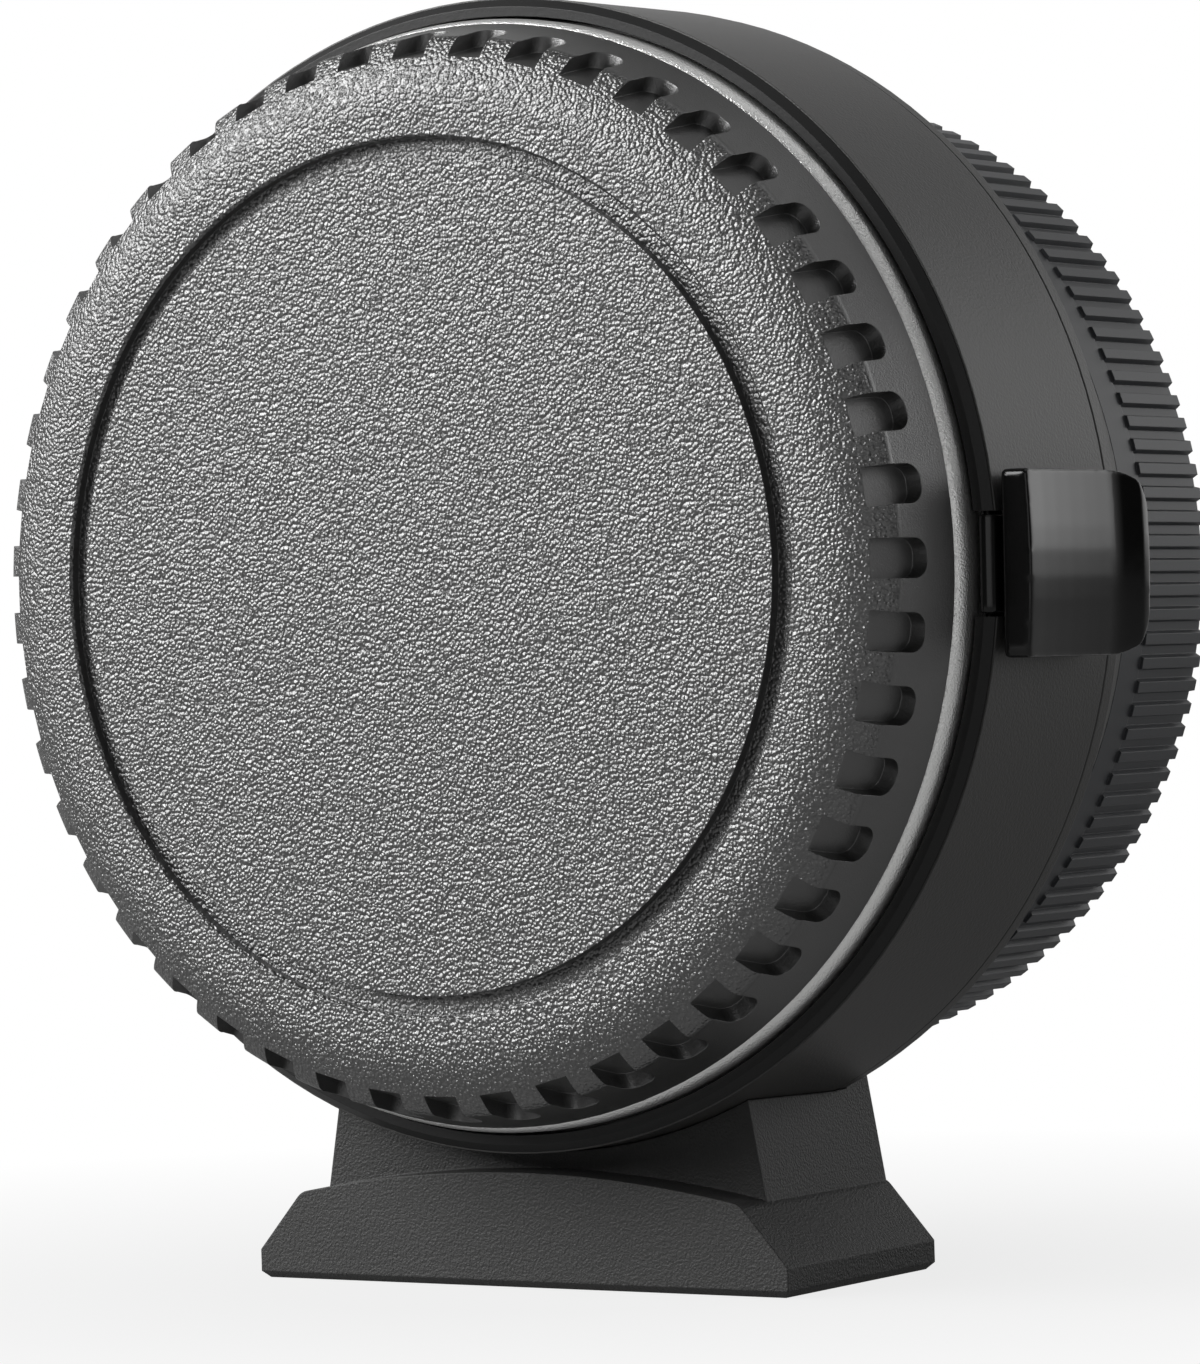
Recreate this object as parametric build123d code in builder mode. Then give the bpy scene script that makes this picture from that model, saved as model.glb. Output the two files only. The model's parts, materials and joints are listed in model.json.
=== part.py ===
from build123d import *
import os
from math import cos, radians, sin, sqrt

# Lens mount adapter with both of its caps on, standing on its tripod foot. Millimetres and degrees.
# X is to the right, Y runs back along the optical axis from the lens side to the camera side, Z is up.
# The origin is the mouth of the tripod socket. Angles are counted from +X towards +Z.

# The two seats
lens_face = -10.1
flange_spacing = 26.0

# Lens mount ring
throat_radius = 27.0
lens_ring_width = 5.2
lens_ring_thickness = 2.6
lens_ring_round = 0.9
lug_reach = 1.5
lug_thickness = 1.3
lug_span = 50.0
lug_angles = (60.0, 180.0, 300.0)
lens_screw_angles = (20.0, 130.0, 230.0, 340.0)
lens_screw_inset = 2.4

# Collar ring round the lens mount ring
collar_gap = 0.2
collar_width = 1.0
collar_setback = 1.4
collar_thickness = 0.5
collar_chamfer = 0.45
collar_spigot = 1.0
collar_spigot_width = 0.5

# Barrel
barrel_length = 12.55
barrel_lip = 0.1
barrel_flare = 0.3
barrel_wall = 2.5
seam_chamfer = 0.15
web_thickness = 2.0
web_reach = 3.7

# Rear cover
cover_step = 0.05
cover_band = 1.1
cover_shoulder = 1.85
cover_spigot = 2.2
cover_spigot_wall = 0.9
cover_wall = 3.0
cover_overhang = 1.75

# Camera mount ring
camera_tube_radius = 20.6
camera_tube_wall = 1.1
camera_ring_width = 7.4
camera_ring_thickness = 2.4
camera_tab_reach = 1.2
camera_tab_setback = 3.6
camera_tab_thickness = 1.4
camera_tab_span = 46.0
camera_tube_lip = 0.4
camera_tab_angles = (90.0, 210.0, 330.0)
camera_screw_angles = (35.0, 145.0, 215.0, 325.0)
camera_screw_inset = 1.3
camera_screw_head = 1.2

# Front cap
cap_height = 6.1
cap_margin = 0.35
cap_draft = 0.95
cap_skirt_wall = 1.7
cap_wall = 1.9
cap_face_thickness = 1.9
cap_border = 5.9
cap_groove_width = 1.15
cap_groove_depth = 0.7
cap_groove_edge = 0.15
cap_shoulder_radius = 6.0
cap_shoulder_turn = 40.0
cap_rim_round = 1.0
notch_count = 48
notch_width = 2.2
notch_depth = 0.95
notch_length = 4.0
notch_corner = 0.9
cap_spigot_wall = 1.3
cap_spigot_overrun = 1.0
cap_tab_span = 44.0

# Rear cap
rear_cap_wall = 1.4
rear_cap_rim = 2.45
rear_cap_floor = 1.6
rear_cap_round = 0.6
rear_cap_ring_wall = 1.4
rear_cap_lug_thickness = 1.2
rear_cap_lug_span = 46.0
rib_count = 130
rib_height = 0.2
rib_root = 0.15
rib_crest_share = 0.44
rib_floor_share = 0.36

# Release lever
lever_angle = -0.7
lever_travel = 2.5
lever_height = 10.4
lever_length = 12.15
lever_thickness = 1.9
lever_hollow = 0.15
lever_lip = 0.95
lever_lip_length = 3.1
lever_rim = 0.85
lever_corner = 2.4
lever_front_corner = 0.4
lever_edge = 0.2
lever_crown_radius = 60.0
lever_sweep = 12.0
lever_tab_height = 5.45
lever_arm_thickness = 1.75

# Lens lock
lock_pin_radius = 0.9
lock_pin_inset = 1.7
lock_pin_reach = 1.2
lock_pin_chamfer = 0.3
lock_pin_head = 1.5
lock_pin_head_height = 0.6
lock_spring_radius = 1.05
lock_spring_wire = 0.3
lock_spring_length = 3.8
lock_spring_turns = 3.5
bracket_sheet = 0.6
bracket_depth_x = 2.4
bracket_foot = 2.5

# Leaf springs behind the lugs
leaf_thickness = 0.3
leaf_span = 46.0
leaf_ear_span = 5.0
leaf_ear_reach = 1.8
leaf_reach = 1.4
leaf_seat_margin = 1.0

# Lens contacts
contact_count = 8
contact_pitch_angle = 7.0
contact_inset = 4.5
contact_pin_radius = 0.45
contact_pin_reach = 1.2
contact_pin_tail = 1.4
contact_travel = 0.8
contact_sleeve_wall = 0.25
contact_sleeve_end = 0.5
contact_block_width = 3.6
contact_spring_room = 2.0
contact_block_span = 62.0
contact_plate_thickness = 1.2
contact_ear_span = 6.5

# Circuit board
board_width = 5.5
board_clearance = 0.5
board_thickness = 1.0
board_gap_span = 54.0
board_standoff = 2.2
board_standoff_radius = 1.4
board_screw_angles = (40.0, 180.0, 320.0)
chip_size = 4.4
chip_height = 0.9
chip_angles = (90.0, 120.0, 150.0)
connector_depth = 2.4
flex_thickness = 0.2
contact_flex_width = 7.0
rear_flex_width = 5.0
rear_flex_angle = 229.0

# Camera contacts
rear_contact_count = 10
rear_contact_pitch_angle = 7.0
rear_contact_size = 1.2
rear_contact_depth = 0.8
rear_block_width = 1.75
rear_block_span = 90.0
rear_block_lead = 1.0
rear_block_screw_offset = 37.5

# Light baffle
baffle_wall = 1.0
baffle_flange = 2.6
baffle_flange_thickness = 1.2

# Tripod foot
foot_height = 7.5
foot_width = 37.0
foot_depth = 16.4
foot_edge = 1.7
foot_ledge_width = 30.8
foot_ledge_height = 5.2
foot_crown = 1.5
foot_corner = 1.2
foot_chamfer = 0.4
neck_setback = 2.9
neck_inset = 0.1
neck_draft = 0.18
neck_rise = 4.2
foot_screw_offset = 9.5
foot_screw_seat = 2.5
socket_radius = 3.175
bush_wall = 1.4
bush_cover = 1.5

# Screws: shank radius, head radius and head height
m2_shank = 0.85
m2_head = 1.45
m2_head_height = 0.7
m1_shank = 0.6
m1_head = 1.1
m1_head_height = 0.7
foot_shank = 1.25
foot_head = 2.25
foot_head_height = 1.5
slot_width = 0.35
slot_depth = 0.3

# Clearances
running_gap = 0.08
seat_gap = 0.05
screw_gap = 0.03
bayonet_gap = 0.3
tab_gap = 0.1
sliding_gap = 0.3
guide_gap = 0.18
lever_gap = 0.2
joint_gap = 0.05
tube_gap = 0.15
tail_gap = 1.0

# Depths along Y
camera_face = lens_face + flange_spacing
lens_ring_back = lens_face + lens_ring_thickness
collar_front = lens_face + collar_setback
barrel_front = collar_front + collar_thickness
barrel_rear = barrel_front + barrel_length
web_back = lens_ring_back + web_thickness
cover_back = camera_face - camera_ring_thickness
cover_band_end = barrel_rear + cover_band
cover_shoulder_end = cover_band_end + cover_shoulder
cover_wall_front = cover_back - cover_wall
cap_front = lens_face - cap_height
cap_seat = lens_face - seat_gap
cap_tab_front = lens_face + lug_thickness + tab_gap
cap_tab_back = lens_ring_back - tab_gap
cap_spigot_end = lens_ring_back + cap_spigot_overrun
camera_tab_front = camera_face + camera_tab_setback
camera_tab_back = camera_tab_front + camera_tab_thickness
camera_tube_end = camera_tab_back + camera_tube_lip
rear_cap_front = cover_back + tube_gap
rib_start = rear_cap_front + rear_cap_rim
rear_cap_inside = camera_tube_end + tail_gap
rear_cap_back = rear_cap_inside + rear_cap_floor
rib_end = rear_cap_back - rear_cap_round
lever_front = barrel_front - tab_gap
lever_back = lever_front + lever_length
lever_arm_front = web_back + guide_gap
lever_arm_back = lever_arm_front + lever_arm_thickness
slot_end = lever_arm_back + lever_travel + sliding_gap
lock_head_back = lever_arm_back + lock_pin_head_height
bracket_inside = lock_head_back + lock_spring_length
bracket_back = bracket_inside + bracket_sheet
board_front = web_back + board_standoff
board_back = board_front + board_thickness
contact_block_back = web_back + contact_pin_tail + contact_travel + contact_spring_room
sleeve_back = contact_block_back + flex_thickness
flex_front = sleeve_back
flex_back = flex_front + flex_thickness
baffle_front = flex_back + sliding_gap
baffle_flange_front = cover_back - baffle_flange_thickness
rear_block_front = camera_face - rear_block_lead
rear_block_back = camera_tube_end - sliding_gap

# Radii about the optical axis
lug_radius = throat_radius - lug_reach
lens_ring_radius = throat_radius + lens_ring_width
lens_screw_radius = lens_ring_radius - lens_screw_inset
collar_inner = lens_ring_radius + collar_gap
collar_outer = collar_inner + collar_width
collar_spigot_radius = collar_inner + collar_spigot_width
barrel_front_radius = collar_outer + barrel_lip
barrel_rear_radius = barrel_front_radius + barrel_flare
bore_radius = barrel_front_radius - barrel_wall
web_radius = bore_radius - web_reach
cover_band_radius = barrel_rear_radius - cover_step
cover_spigot_radius = bore_radius - joint_gap
cover_spigot_inner = cover_spigot_radius - cover_spigot_wall
camera_tube_outer = camera_tube_radius + camera_tube_wall
camera_ring_radius = camera_tube_radius + camera_ring_width
camera_tab_radius = camera_tube_outer + camera_tab_reach
camera_screw_radius = camera_ring_radius - camera_screw_inset
cover_end_radius = camera_ring_radius + cover_overhang
cap_skirt_radius = lens_ring_radius - cap_margin
cap_rim_radius = cap_skirt_radius - cap_draft
cap_groove_radius = cap_rim_radius - cap_border
cap_spigot_radius = lug_radius - bayonet_gap
cap_spigot_inner = cap_spigot_radius - cap_spigot_wall
cap_tab_radius = throat_radius - bayonet_gap
rear_cap_bore = camera_ring_radius + bayonet_gap
rear_cap_radius = rear_cap_bore + rear_cap_wall
rib_root_radius = rear_cap_radius - rib_root
rib_crest_radius = rear_cap_radius + rib_height
rear_cap_ring_inner = camera_tab_radius + bayonet_gap
rear_cap_ring_outer = rear_cap_ring_inner + rear_cap_ring_wall
rear_cap_lug_radius = camera_tube_outer + bayonet_gap
lock_pin_x = throat_radius + lock_pin_inset
lever_under = barrel_front_radius + lever_gap
lever_top = lever_under + lever_thickness
lever_tab_inner = lens_ring_radius + sliding_gap
lever_arm_inner = lock_pin_x - lock_pin_head
contact_radius = throat_radius - contact_inset
board_inner = contact_radius + contact_block_width / 2 + board_clearance
board_outer = board_inner + board_width
board_screw_radius = board_outer - board_standoff_radius
connector_radius = (board_inner + board_outer) / 2
baffle_radius = camera_tube_outer
baffle_outer = baffle_radius + baffle_wall
baffle_flange_radius = baffle_outer + baffle_flange
rear_block_outer = camera_tube_radius - running_gap
rear_block_inner = rear_block_outer - rear_block_width
rear_contact_radius = (rear_block_inner + rear_block_outer) / 2
rear_flex_radius = baffle_outer + 2 * flex_thickness
contact_ear_radius = bore_radius - sliding_gap - m1_head

# Foot
axis_height = foot_height + barrel_rear_radius
neck_front = -foot_depth / 2 + neck_setback
neck_back = foot_depth / 2 - neck_inset
neck_top = axis_height - barrel_rear_radius + neck_rise
bush_radius = socket_radius + bush_wall
bush_length = foot_height - bush_cover
foot_thread_end = axis_height - sqrt((bore_radius + 2 * sliding_gap) ** 2 - foot_screw_offset ** 2)

optical_axis = Axis((0, 0, axis_height), (0, -1, 0))
section = Plane.XY.offset(axis_height)
overrun = 1.0


def facing(depth):
    # Plane square to the optical axis, as seen from the lens side
    return Plane(origin=(0, depth, axis_height), x_dir=(1, 0, 0), z_dir=(0, -1, 0))


def turned(piece, angles):
    return [piece.rotate(optical_axis, angle) for angle in angles]


def placed(piece, radius, depth, angles):
    return turned(piece.moved(Location((radius, depth, axis_height))), angles)


def lever_side(drawn):
    # Pieces drawn straight out to the right, turned to the lever's own angle
    return [piece.rotate(optical_axis, lever_angle) for piece in drawn]


def sector(inner, outer, front, back, centre, span):
    # Piece of a ring, as wide as the span and centred on an angle
    with BuildPart() as piece:
        with BuildSketch(section):
            with Locations(((inner + outer) / 2, (front + back) / 2)):
                Rectangle(outer - inner, back - front)
        revolve(axis=optical_axis, revolution_arc=span)
    return piece.part.rotate(optical_axis, centre - span / 2)


def sectors(inner, outer, front, back, centres, span):
    return [sector(inner, outer, front, back, centre, span) for centre in centres]


def block(x, y, z):
    # Box between three pairs of limits, with Z counted from the optical axis
    with BuildPart() as piece:
        with BuildSketch(Plane.XY.offset(axis_height + z[0])):
            with Locations(((x[0] + x[1]) / 2, (y[0] + y[1]) / 2)):
                Rectangle(x[1] - x[0], y[1] - y[0])
        extrude(amount=z[1] - z[0])
    return piece.part


def rod(radius, front, back, grow=0.0):
    with BuildPart() as piece:
        with BuildSketch(Plane.XZ.offset(-front)):
            Circle(radius + grow)
        extrude(amount=front - back)
    return piece.part


def flat_screw(shank, head, head_height, length):
    # Countersunk screw along +Y with the flat of its head at the origin, and a driving slot
    with BuildPart() as piece:
        with BuildSketch(Plane.XY):
            with BuildLine():
                Polyline((0, 0), (head, 0), (shank, head_height), (shank, length), (0, length), close=True)
            make_face()
        revolve(axis=Axis.Y)
        with BuildSketch(Plane.XZ):
            Rectangle(2 * head, slot_width)
        extrude(amount=-slot_depth, mode=Mode.SUBTRACT)
    return piece.part


def flat_hole(shank, head, head_height, length):
    with BuildPart() as piece:
        with BuildSketch(Plane.XY):
            with BuildLine():
                Polyline(
                    (0, -overrun),
                    (head + screw_gap, -overrun),
                    (head + screw_gap, screw_gap),
                    (shank + screw_gap, head_height + screw_gap),
                    (shank + screw_gap, length + screw_gap),
                    (0, length + screw_gap),
                    close=True,
                )
            make_face()
        revolve(axis=Axis.Y)
    return piece.part


def pan_screw(shank, head, head_height, length):
    # Pan-head screw along +Y with the seat of its head at the origin, and a driving slot
    with BuildPart() as piece:
        with BuildSketch(Plane.XZ.offset(head_height)):
            Circle(head)
        extrude(amount=-head_height)
        with BuildSketch(Plane.XZ):
            Circle(shank)
        extrude(amount=-length)
        with BuildSketch(Plane.XZ.offset(head_height)):
            Rectangle(2 * head, slot_width)
        extrude(amount=-slot_depth, mode=Mode.SUBTRACT)
    return piece.part


# Front cap: a moulded shell with a grooved face, a rounded shoulder and a notched rim

cap_turn = radians(cap_shoulder_turn)
cap_shoulder_start = (
    cap_rim_radius - cap_rim_round - (cap_shoulder_radius - cap_rim_round) * sin(cap_turn)
)
cap_rim_centre = (
    cap_rim_radius - cap_rim_round,
    cap_front + cap_shoulder_radius - (cap_shoulder_radius - cap_rim_round) * cos(cap_turn),
)
cap_inside = cap_front + cap_face_thickness
cap_groove_inner = cap_groove_radius - cap_groove_width
cap_step = cap_seat - lock_pin_reach - sliding_gap
notch_end = cap_front + notch_length


def flank_radius(depth):
    # Radius of the cap's drafted flank, carried on in a straight line past the rim
    share = (depth - cap_rim_centre[1]) / (cap_seat - cap_rim_centre[1])
    return cap_rim_radius + share * (cap_skirt_radius - cap_rim_radius)


with BuildPart() as cap_notch:
    with BuildSketch(section.offset(-notch_width / 2)):
        with BuildLine():
            Polyline(
                (flank_radius(cap_front) - notch_depth, cap_front),
                (flank_radius(notch_end) - notch_depth, notch_end),
                (cap_skirt_radius + overrun, notch_end),
                (cap_skirt_radius + overrun, cap_front),
                close=True,
            )
        make_face()
    extrude(amount=notch_width)
    fillet(cap_notch.edges().filter_by(Axis.X).group_by(Axis.Y)[-1], radius=notch_corner)

notch_angles = [360 / notch_count * i for i in range(notch_count)]
cap_notches = turned(cap_notch.part, notch_angles)
cap_tabs = sectors(cap_spigot_inner, cap_tab_radius, cap_tab_front, cap_tab_back, lug_angles, cap_tab_span)

with BuildPart() as front_cap:
    with BuildSketch(section):
        with BuildLine():
            Polyline(
                (0, cap_inside),
                (0, cap_front),
                (cap_groove_inner, cap_front),
                (cap_groove_inner, cap_front + cap_groove_depth),
                (cap_groove_radius, cap_front + cap_groove_depth),
                (cap_groove_radius, cap_front + cap_groove_edge),
                (cap_groove_radius + cap_groove_edge, cap_front),
                (cap_shoulder_start, cap_front),
            )
            CenterArc(
                (cap_shoulder_start, cap_front + cap_shoulder_radius),
                cap_shoulder_radius,
                270,
                cap_shoulder_turn,
            )
            CenterArc(cap_rim_centre, cap_rim_round, 270 + cap_shoulder_turn, 90 - cap_shoulder_turn)
            Polyline(
                (cap_rim_radius, cap_rim_centre[1]),
                (cap_skirt_radius, cap_seat),
                (cap_skirt_radius - cap_skirt_wall, cap_seat),
                (cap_skirt_radius - cap_skirt_wall, cap_step),
                (flank_radius(cap_step) - cap_wall - notch_depth, cap_step),
                (flank_radius(cap_inside) - cap_wall, cap_inside),
                (cap_spigot_radius, cap_inside),
                (cap_spigot_radius, cap_spigot_end),
                (cap_spigot_inner, cap_spigot_end),
                (cap_spigot_inner, cap_inside),
                (0, cap_inside),
            )
        make_face()
    revolve(axis=optical_axis)
    add(cap_tabs)
    add(cap_notches, mode=Mode.SUBTRACT)

# Lens mount ring: three lugs, a rounded edge, countersunk holes and the lock pin's hole

lens_screw_length = lens_ring_thickness + web_thickness - sliding_gap
lens_screw = flat_screw(m2_shank, m2_head, m2_head_height, lens_screw_length)
lens_screw_hole = flat_hole(m2_shank, m2_head, m2_head_height, lens_screw_length)
lens_screw_holes = placed(lens_screw_hole, lens_screw_radius, lens_face, lens_screw_angles)
lens_lugs = sectors(
    lug_radius, throat_radius + overrun, lens_face, lens_face + lug_thickness, lug_angles, lug_span
)
lock_pin_hole = placed(
    rod(lock_pin_radius, -overrun, lens_ring_thickness + web_thickness + overrun, running_gap),
    lock_pin_x,
    lens_face,
    [lever_angle],
)

with BuildPart() as lens_mount_ring:
    with BuildSketch(section):
        with BuildLine():
            Polyline((throat_radius, lens_face), (lens_ring_radius - lens_ring_round, lens_face))
            CenterArc(
                (lens_ring_radius - lens_ring_round, lens_face + lens_ring_round), lens_ring_round, 270, 90
            )
            Polyline(
                (lens_ring_radius, lens_face + lens_ring_round),
                (lens_ring_radius, lens_ring_back),
                (throat_radius, lens_ring_back),
                (throat_radius, lens_face),
            )
        make_face()
    revolve(axis=optical_axis)
    add(lens_lugs)
    add(lens_screw_holes, mode=Mode.SUBTRACT)
    add(lock_pin_hole, mode=Mode.SUBTRACT)

with BuildPart() as lens_ring_screws:
    add(placed(lens_screw, lens_screw_radius, lens_face, lens_screw_angles))

# Leaf springs: their ears are clamped between the lens mount ring and the web

leaf_ear_offset = (leaf_span - leaf_ear_span) / 2
leaf_ear_angles = [a + side * leaf_ear_offset for a in lug_angles for side in (-1, 1)]
leaf_back = lens_ring_back + leaf_thickness
leaf_strips = sectors(
    throat_radius - leaf_reach, web_radius - joint_gap, lens_ring_back, leaf_back, lug_angles, leaf_span
)
leaf_ears = sectors(
    throat_radius - leaf_reach, web_radius + leaf_ear_reach, lens_ring_back, leaf_back, leaf_ear_angles,
    leaf_ear_span,
)
leaf_seats = sectors(
    web_radius - overrun, web_radius + leaf_ear_reach + joint_gap, lens_ring_back - overrun, leaf_back,
    leaf_ear_angles, leaf_ear_span + leaf_seat_margin,
)

with BuildPart() as bayonet_springs:
    add(leaf_strips)
    add(leaf_ears)

# Collar ring: black trim with a gap for the lever's tab

tab_half = lever_tab_height / 2
gap_half = tab_half + guide_gap
collar_opening = block(
    (lens_ring_radius, collar_outer + overrun),
    (collar_front - overrun, barrel_front + collar_spigot + overrun),
    (-gap_half, gap_half),
)

with BuildPart() as collar_ring:
    with BuildSketch(section):
        with BuildLine():
            Polyline(
                (collar_inner, collar_front),
                (collar_outer - collar_chamfer, collar_front),
                (collar_outer, collar_front + collar_chamfer),
                (collar_outer, barrel_front),
                (collar_spigot_radius, barrel_front),
                (collar_spigot_radius, barrel_front + collar_spigot),
                (collar_inner, barrel_front + collar_spigot),
                close=True,
            )
        make_face()
    revolve(axis=optical_axis)
    add(lever_side([collar_opening]), mode=Mode.SUBTRACT)

# Screws that go into the web and its standoffs

web_screw = pan_screw(m1_shank, m1_head, m1_head_height, web_thickness)
web_screw_hole = rod(m1_shank, -overrun, web_thickness, screw_gap)
back_screw = web_screw.rotate(Axis.Z, 180)
back_screw_hole = web_screw_hole.rotate(Axis.Z, 180)
contact_ear_offset = contact_block_span / 2 + contact_ear_span / 2
contact_ear_angles = (270 - contact_ear_offset, 270 + contact_ear_offset)
bracket_wall_half = tab_half + sliding_gap + bracket_sheet
bracket_foot_half = bracket_wall_half + bracket_foot
bracket_screw_z = (bracket_wall_half + bracket_foot_half) / 2
bracket_x = (lock_pin_x - bracket_depth_x / 2, lock_pin_x + bracket_depth_x / 2)
bracket_screw_y = web_back + bracket_sheet
bracket_places = [Location((lock_pin_x, bracket_screw_y, axis_height + s * bracket_screw_z)) for s in (-1, 1)]

board_screw_holes = placed(back_screw_hole, board_screw_radius, board_back, board_screw_angles)
contact_screw_y = web_back + contact_plate_thickness
contact_screw_holes = placed(back_screw_hole, contact_ear_radius, contact_screw_y, contact_ear_angles)
bracket_screw_holes = lever_side([back_screw_hole.moved(place) for place in bracket_places])

# Foot screws, from the counterbores in the base up into the barrel's wall

foot_screw = pan_screw(foot_shank, foot_head, foot_head_height, foot_thread_end - foot_screw_seat)
foot_hole = rod(foot_shank, -overrun, foot_thread_end - foot_screw_seat, screw_gap)
foot_bore = rod(foot_head, -foot_screw_seat - overrun, 0, sliding_gap)
foot_places = [Location((side * foot_screw_offset, 0, foot_screw_seat)) for side in (-1, 1)]
foot_holes = [foot_hole.rotate(Axis.X, 90).moved(place) for place in foot_places]
foot_bores = [foot_bore.rotate(Axis.X, 90).moved(place) for place in foot_places]

with BuildPart() as foot_screws:
    add([foot_screw.rotate(Axis.X, 90).moved(place) for place in foot_places])

# Barrel: tube with a front web that carries the lens mount, and a slot for the lever

board_standoffs = placed(
    rod(board_standoff_radius, web_back - web_thickness / 2, board_front),
    board_screw_radius,
    0,
    board_screw_angles,
)
lever_slot_front = block(
    (collar_inner - joint_gap, barrel_rear_radius + overrun),
    (barrel_front - overrun, slot_end),
    (-gap_half, gap_half),
)
lever_slot_back = block(
    (bore_radius - overrun, barrel_rear_radius + overrun), (web_back, slot_end), (-gap_half, gap_half)
)

with BuildPart() as barrel:
    with BuildSketch(section):
        with BuildLine():
            Polyline(
                (web_radius, lens_ring_back),
                (collar_inner - joint_gap, lens_ring_back),
                (collar_inner - joint_gap, barrel_front + collar_spigot + joint_gap),
                (collar_spigot_radius + joint_gap, barrel_front + collar_spigot + joint_gap),
                (collar_spigot_radius + joint_gap, barrel_front),
                (barrel_front_radius, barrel_front),
                (barrel_rear_radius, barrel_rear - seam_chamfer),
                (barrel_rear_radius - seam_chamfer, barrel_rear),
                (bore_radius, barrel_rear),
                (bore_radius, web_back),
                (web_radius, web_back),
                close=True,
            )
        make_face()
    revolve(axis=optical_axis)
    add(board_standoffs)
    add(lever_side([lever_slot_front, lever_slot_back]), mode=Mode.SUBTRACT)
    add(leaf_seats, mode=Mode.SUBTRACT)
    add(lock_pin_hole, mode=Mode.SUBTRACT)
    add(lens_screw_holes, mode=Mode.SUBTRACT)
    add(board_screw_holes, mode=Mode.SUBTRACT)
    add(contact_screw_holes, mode=Mode.SUBTRACT)
    add(bracket_screw_holes, mode=Mode.SUBTRACT)
    add(foot_holes, mode=Mode.SUBTRACT)

# Release lever: a hollowed thumb pad with a raised lip, a tab in the collar's gap and an arm inside

lever_lip_start = lever_back - lever_lip_length
lever_lip_top = lever_top + lever_lip
lever_half = lever_height / 2
lever_base = lever_under + joint_gap
lever_crown_axis = Axis((lever_top - lever_crown_radius, 0, axis_height), (0, -1, 0))
barrel_taper = barrel_flare / barrel_length

with BuildPart() as lever_clear:
    with BuildSketch(section):
        with BuildLine():
            Polyline(
                (0, lever_front - overrun),
                (lever_under - overrun * barrel_taper, lever_front - overrun),
                (lever_under + (lever_length + overrun) * barrel_taper, lever_back + overrun),
                (0, lever_back + overrun),
                close=True,
            )
        make_face()
    revolve(axis=optical_axis)

with BuildPart() as lever_tab:
    with BuildSketch(section.offset(-tab_half)):
        with BuildLine():
            Polyline(
                (lever_tab_inner, collar_front),
                (collar_outer - collar_chamfer, collar_front),
                (collar_outer, collar_front + collar_chamfer),
                (collar_outer, lever_arm_back),
                (lever_tab_inner, lever_arm_back),
                close=True,
            )
        make_face()
    extrude(amount=lever_tab_height)

lever_bridge = block(
    (lever_tab_inner, lever_under + lever_thickness / 2),
    (lever_arm_front, lever_arm_back),
    (-tab_half, tab_half),
)
lever_arm = block((lever_arm_inner, collar_outer), (lever_arm_front, lever_arm_back), (-tab_half, tab_half))
lever_pin_bore = rod(lock_pin_radius, lever_arm_front - overrun, lever_arm_back + overrun)
lever_pin_hole = placed(lever_pin_bore, lock_pin_x, 0, [0.0])

with BuildPart() as lever_crown:
    with BuildSketch(section):
        with BuildLine():
            Polyline((bore_radius, lever_front), (lever_top, lever_front))
            ThreePointArc(
                (lever_top, lever_front),
                (lever_top - lever_hollow, (lever_front + lever_lip_start) / 2),
                (lever_top, lever_lip_start),
            )
            TangentArc((lever_top, lever_lip_start), (lever_lip_top, lever_back - lever_rim), tangent=(0, 1))
            Polyline(
                (lever_lip_top, lever_back - lever_rim),
                (lever_lip_top, lever_back),
                (bore_radius, lever_back),
                (bore_radius, lever_front),
            )
        make_face()
    revolve(axis=lever_crown_axis, revolution_arc=lever_sweep)

with BuildPart() as lever_body:
    add(lever_crown.part.rotate(lever_crown_axis, -lever_sweep / 2))
    with BuildSketch(Plane.YZ.offset(lever_base)) as lever_outline:
        with Locations(((lever_front + lever_back) / 2, axis_height)):
            Rectangle(lever_length, lever_height)
        fillet(lever_outline.vertices().group_by(Axis.X)[-1], radius=lever_corner)
        fillet(lever_outline.vertices().group_by(Axis.X)[0], radius=lever_front_corner)
    extrude(amount=lever_lip_top, mode=Mode.INTERSECT)
    add(lever_clear.part, mode=Mode.SUBTRACT)
    fillet(lever_body.faces().sort_by(Axis.X)[-1].edges(), radius=lever_edge)
    add([lever_tab.part, lever_bridge, lever_arm])
    add(lever_pin_hole, mode=Mode.SUBTRACT)

with BuildPart() as release_lever:
    add(lever_side([lever_body.part]))

# Lens lock: pin, return spring and the bracket behind it

with BuildPart() as lock_pin:
    lock_pin_body = rod(lock_pin_radius, lens_face - lock_pin_reach, lever_arm_back)
    add(placed(lock_pin_body, lock_pin_x, 0, [lever_angle]))
    add(placed(rod(lock_pin_head, lever_arm_back, lock_head_back), lock_pin_x, 0, [lever_angle]))
    chamfer(lock_pin.faces().sort_by(Axis.Y)[0].edges(), length=lock_pin_chamfer)

spring_start = lock_head_back + lock_spring_wire / 2
spring_run = lock_spring_length - lock_spring_wire

with BuildPart() as spring_coil:
    with BuildLine() as spring_line:
        Helix(
            pitch=spring_run / lock_spring_turns,
            height=spring_run,
            radius=lock_spring_radius,
            center=(lock_pin_x, spring_start, axis_height),
            direction=(0, 1, 0),
        )
    with BuildSketch(Plane(origin=spring_line.line @ 0, z_dir=spring_line.line % 0)):
        Circle(lock_spring_wire / 2)
    sweep(is_frenet=True)

with BuildPart() as lock_spring:
    add(lever_side([spring_coil.part]))

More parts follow.
